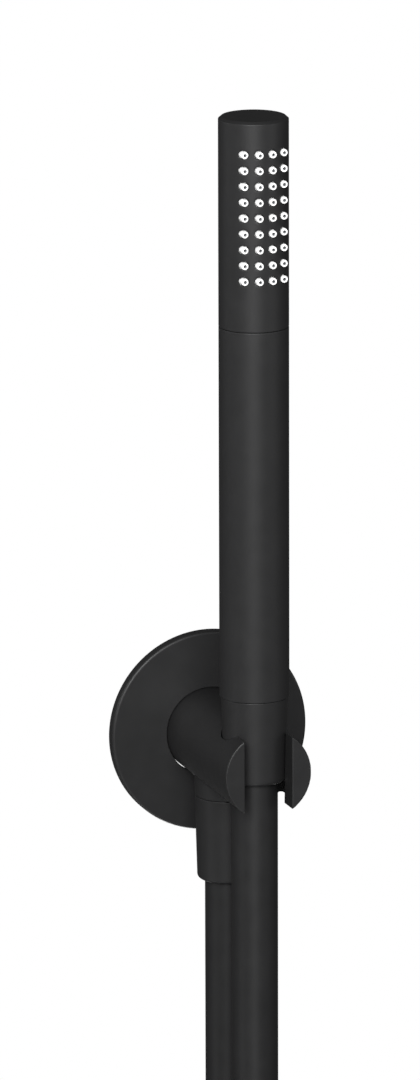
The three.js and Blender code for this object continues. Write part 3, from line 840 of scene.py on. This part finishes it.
def paint_shade_in_bores(mat):
    """Painted shade: the walls that the drill left in the water's holes get the darker grey plastic, which
    stands in for the shade inside them.
    """
    # the grey plastic on the bore walls is painted shade, not the nozzles' own colour
    mat.data.materials.append(FINISH["grey_plastic"])
    spots = np.array([(x, z) for z in JET_Z for x in JET_X])
    across, along = (math.cos(FACING), math.sin(FACING)), (math.sin(FACING), -math.cos(FACING))
    for wall in mat.data.polygons:
        x, y, z = wall.center / MM
        place = (x * across[0] + (y - STICK_Y) * across[1], z)
        nearest = np.hypot(*(spots - place).T).min()
        slant = wall.normal.x * along[0] + wall.normal.y * along[1]
        if nearest < JET_BORE + 0.1 and abs(slant) < 0.3:
            # painted shade: this bore wall takes the dark grey plastic
            wall.material_index = 1


paint_shade_in_bores(finish(nozzle_mat(), "nozzle_mat"))


def inlet_connector():
    """Brass end of the handle, with the thread for the hose nut."""
    foot = span("inlet_connector")[0]
    profile = core_of(profile_of("inlet_connector"), foot - 1, HANDLE_LOW + 0.55)
    connector = turned_again("inlet_connector", 0.15, profile=profile)
    finish(with_thread(connector, foot, HANDLE_LOW, STICK_AXIS), "inlet_connector")


def inlet_filter():
    """Sieve disc with seven holes."""
    low, high = span("inlet_filter")
    edge = radius("inlet_filter")
    sieve = turned_again("inlet_filter", 0.1, profile=[(0, low), (edge, low), (edge, high), (0, high)])
    spots = [(0, STICK_Y), *ring_of_six(3.8, STICK_Y)]
    finish(drilled(sieve, spots, 1.1, low - 1, high + 1), "inlet_filter")


inlet_connector()
inlet_filter()
for node in ("outlet_hose_washer", "outlet_hose_tail", "handset_hose_washer", "handset_hose_tail",
             "flow_limiter", "water_tube", "neck_connector"):
    finish(turned_again(node), node)
for node, section, axis in (
        ("supply_o_ring_inner", 0.8, "Y"), ("supply_o_ring_outer", 0.8, "Y"), ("outlet_o_ring", 0.8, "Z"),
        ("valve_o_ring", 0.45, "Z"), ("connector_o_ring", 0.75, "Z"), ("neck_o_ring_lower", 0.75, "Z"),
        ("neck_o_ring_upper", 0.75, "Z")):
    o_ring(node, section, axis)


# ---- hose -----------------------------------------------------------------------------------------

COIL_RADIUS, COIL_Z, COIL_PITCH = 95.0, -294.5, 17.0
COIL_FROM, COIL_TO = 120, 780  # degrees round the coil
BEND_Z = -130.0  # where both strands start to swing out to the coil
COIL_Y = (OUTLET_Y + STICK_Y) / 2
COIL_SPREAD = COIL_PITCH * (COIL_TO - COIL_FROM) / 360
OUTLET_MOUTH = span("outlet_hose_nut")[0]
HANDSET_END = span("handset_hose_cuff")[1]


def coil_y(angle):
    return COIL_Y + COIL_SPREAD * (0.5 - (angle - COIL_FROM) / (COIL_TO - COIL_FROM))


def evenly(start, stop, step):
    return np.linspace(start, stop, max(2, round(abs(stop - start) / step) + 1))


def hose_route():
    """Centre line: down from the outlet, out and round the coil, and back up to the handset."""
    ring = 3.0
    points = [(0, OUTLET_Y, z) for z in evenly(OUTLET_MOUTH + 0.25, BEND_Z, ring)]
    turn = ring / COIL_RADIUS
    swing = evenly(0, math.radians(60), turn)

    def bend(side, y_start, y_end):
        """Arc out to the side, with a soft change of y."""
        bent = []
        for a in swing:
            y = y_start + (y_end - y_start) * (1 - math.cos(math.pi * a / swing[-1])) / 2
            bent.append((side * COIL_RADIUS * (1 - math.cos(a)), y, BEND_Z - COIL_RADIUS * math.sin(a)))
        return bent

    points += bend(-1, OUTLET_Y, coil_y(COIL_FROM))[1:]
    for angle in evenly(COIL_FROM, COIL_TO, math.degrees(turn))[1:-1]:
        a = math.radians(angle)
        points.append((COIL_RADIUS * math.cos(a), coil_y(angle), COIL_Z + COIL_RADIUS * math.sin(a)))
    points += bend(1, STICK_Y, coil_y(COIL_TO))[::-1]
    points += [(0, STICK_Y, z) for z in evenly(BEND_Z, HANDSET_END, ring)[1:]]
    return np.array(points)


def tube(name, route, thickness, sides=48):
    """Closed round tube along a route. Its thickness is a radius."""
    tangents = np.gradient(route, axis=0)
    tangents /= np.linalg.norm(tangents, axis=1)[:, None]
    side = np.array([1.0, 0, 0])
    rings = []
    for point, tangent in zip(route, tangents):
        side = side - (side @ tangent) * tangent
        side /= np.linalg.norm(side)
        other = np.cross(tangent, side)
        a = np.arange(sides) * 2 * math.pi / sides
        rings.append(point + thickness * (np.outer(np.cos(a), side) + np.outer(np.sin(a), other)))
    points = np.concatenate([*rings, route[:1], route[-1:]])
    faces, last = [], len(rings) * sides
    for k in range(sides):
        n = (k + 1) % sides
        faces += [(i * sides + k, i * sides + n, (i + 1) * sides + n, (i + 1) * sides + k)
                  for i in range(len(rings) - 1)]
        faces += [(last, n, k), (last + 1, last - sides + k, last - sides + n)]
    return make_object(name, points, faces, 50)


def hose_tie(name, node, angle):
    """Strap round two passes of the coil. Its end laps over its start."""
    thick, width, clear, lap, ramp = 1.2, 16.0, 0.2, 26.0, 8.0
    first, second = sorted((coil_y(angle), coil_y(angle + 360)))
    bend, side = HOSE_RADIUS + clear, second - first
    round_end = math.pi * bend
    whole = 2 * (side + round_end)

    def on_loop(s):
        """Point and outward direction at a distance along the loop, as (outward, along y)."""
        s %= whole
        if s < side:
            return (bend, first + s), (1, 0)
        if s < side + round_end:
            a = (s - side) / bend
            return (bend * math.cos(a), second + bend * math.sin(a)), (math.cos(a), math.sin(a))
        if s < 2 * side + round_end:
            return (-bend, second - (s - side - round_end)), (-1, 0)
        a = math.pi + (s - 2 * side - round_end) / bend
        return (bend * math.cos(a), first + bend * math.sin(a)), (math.cos(a), math.sin(a))

    stations = np.linspace(0, whole + lap, 150)
    across = np.linspace(-0.5, 0.5, 9) * width / COIL_RADIUS
    points = []
    for layer in (0, thick):
        for s in stations:
            (u, y), (du, dy) = on_loop(s)
            t = min(1, max(0, (s - whole + ramp) / ramp))
            out = layer + (thick + 0.05) * t * t * (3 - 2 * t)
            for turn in across:
                a = math.radians(angle) + turn
                r = COIL_RADIUS + u + du * out
                lead = coil_y(math.degrees(a)) - coil_y(angle)
                points.append((r * math.cos(a), y + dy * out + lead, COIL_Z + r * math.sin(a)))
    rows, columns = len(stations), len(across)
    layer_size, faces = rows * columns, []
    for i in range(rows - 1):
        for j in range(columns - 1):
            quad = [i * columns + j, i * columns + j + 1, (i + 1) * columns + j + 1, (i + 1) * columns + j]
            faces += [quad, [v + layer_size for v in quad[::-1]]]
    rim = (list(range(columns)) + [i * columns + columns - 1 for i in range(1, rows)]
           + [(rows - 1) * columns + j for j in range(columns - 2, -1, -1)]
           + [i * columns for i in range(rows - 2, 0, -1)])
    for a, b in zip(rim, rim[1:] + rim[:1]):
        faces.append((b, a, a + layer_size, b + layer_size))
    finish(make_object(name, points, faces), node)


def hose_start():
    """The hose's own end inside the outlet's nut."""
    low, high = span("outlet_hose_cuff")
    inner, foot = 5.6, low + GAP
    profile = [(inner, foot), (HOSE_RADIUS, foot), (HOSE_RADIUS, high), (inner, high)]
    finish(lathe("hose_start", softened(profile, 0.3), AT_OUTLET, segments=96), "outlet_hose_cuff")


def valve_spring():
    """Helical spring of the valve."""
    low, high = span("valve_spring")
    wire, coil, turns, travel = 0.3, 3.3, 4, 2.5
    angles = np.linspace(0, 2 * math.pi * turns, 40 * turns)
    heights = np.linspace(low + wire, high - wire, 40 * turns)
    helix = np.stack([coil * np.cos(angles), OUTLET_Y + coil * np.sin(angles), heights], 1)
    spring = finish(tube("spring", helix, wire, 16), "valve_spring")
    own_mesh(spring)


def whole_hose():
    """The hose in one piece."""
    route = hose_route()
    hose = tube("hose", route, HOSE_RADIUS)
    finish(hose, "hose_outlet_run", "hose_coil", "hose_handset_run", "handset_hose_cuff", rides=False)
    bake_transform(hose)


hose_tie("strap_left", "hose_tie_left", 140)
hose_tie("strap_right", "hose_tie_right", 400)
hose_start()
valve_spring()
whole_hose()


# ---- floor, light and camera ----------------------------------------------------------------------


def floor():
    """A pale round floor close under the coil. It fades into the white round it."""
    reach, z = 0.78, box("hose_coil")[0].z - 0.4
    disc = lathe("floor", [(0, z - 2), (reach / MM, z - 2), (reach / MM, z), (0, z)], (0, COIL_Y, 0))
    pale = bpy.data.materials.new("pale_floor")
    pale.use_nodes = True
    shaders, link = pale.node_tree.nodes, pale.node_tree.links.new
    matt = shaders["Principled BSDF"]
    matt.inputs["Base Color"].default_value = (0.85, 0.85, 0.85, 1)
    matt.inputs["Roughness"].default_value = 0.8
    coordinates, distance, fade, glow, mix = (shaders.new("ShaderNode" + kind) for kind in (
        "TexCoord", "VectorMath", "MapRange", "Emission", "MixShader"))
    distance.operation = "LENGTH"
    fade.inputs["From Min"].default_value = 0.45
    fade.inputs["From Max"].default_value = 0.85
    link(coordinates.outputs["Object"], distance.inputs[0])
    link(distance.outputs["Value"], fade.inputs["Value"])
    link(fade.outputs["Result"], mix.inputs[0])
    link(matt.outputs[0], mix.inputs[1])
    link(glow.outputs[0], mix.inputs[2])
    link(mix.outputs[0], shaders["Material Output"].inputs["Surface"])
    disc.data.materials.append(pale)
    disc.visible_diffuse = disc.visible_glossy = disc.visible_shadow = False


def towards(azimuth, elevation):
    """Unit vector at an azimuth (0 is the room side, 90 is the right) and an elevation, in degrees."""
    a, e = math.radians(azimuth), math.radians(elevation)
    return Vector((math.sin(a) * math.cos(e), -math.cos(a) * math.cos(e), math.sin(e)))


def lamp(name, azimuth, elevation, watts, distance=1.6, size=0.6):
    """Soft square light, aimed at the middle of what the camera sees."""
    back = towards(azimuth, elevation)
    data = bpy.data.lights.new(name, "AREA")
    data.shape, data.size, data.energy = "SQUARE", size, watts
    thing = bpy.data.objects.new(name, data)
    thing.location = Vector((0, STICK_Y, 60)) * MM + back * distance
    thing.rotation_euler = (-back).to_track_quat("-Z", "Y").to_euler()
    bpy.context.scene.collection.objects.link(thing)


def surroundings():
    """White to the camera, and a dim even light for the object."""
    world = bpy.data.worlds.new("studio")
    bpy.context.scene.world = world
    world.use_nodes = True
    shaders, link = world.node_tree.nodes, world.node_tree.links.new
    white = shaders["Background"]
    white.inputs["Color"].default_value = (1, 1, 1, 1)
    dim, ray, mix = (shaders.new("ShaderNode" + kind) for kind in ("Background", "LightPath", "MixShader"))
    dim.inputs["Color"].default_value = (0.066, 0.066, 0.066, 1)
    link(ray.outputs["Is Camera Ray"], mix.inputs[0])
    link(dim.outputs[0], mix.inputs[1])
    link(white.outputs[0], mix.inputs[2])
    link(mix.outputs[0], shaders["World Output"].inputs["Surface"])
    bpy.context.scene.view_settings.view_transform = "Standard"


def camera():
    aim = Vector((-8.700, -31.078, 78.034)) * MM
    azimuth, elevation, roll, distance = -18.668, 13.848, -0.166, 3.3577
    thing = bpy.data.objects.new("camera", bpy.data.cameras.new("camera"))
    bpy.context.scene.collection.objects.link(thing)
    thing.data.lens, thing.data.sensor_width, thing.data.sensor_fit = 313.26, 36.0, "AUTO"
    thing.data.clip_end = 50
    back = towards(azimuth, elevation)
    thing.location = aim + back * distance
    level = (-back).to_track_quat("-Z", "Y").to_matrix()
    thing.rotation_euler = (level @ Matrix.Rotation(math.radians(roll), 3, "Z")).to_euler()
    bpy.context.scene.camera = thing


floor()
lamp("key", -19, 23, 36.5, size=1.0)
lamp("front", -19, 10, 1.0)
lamp("above_left", -40, 30, 13.0)
lamp("left_side", -70, 15, 1.6)
lamp("left_behind", -110, 15, 5.4)
lamp("right", 45, 10, 4.8)
lamp("low_left", -90, -35, 1.9)
lamp("low", -19, -30, 1.5)
lamp("lowest", -19, -60, 4.0)
lamp("behind", 165, -65, 18.0)
surroundings()
camera()
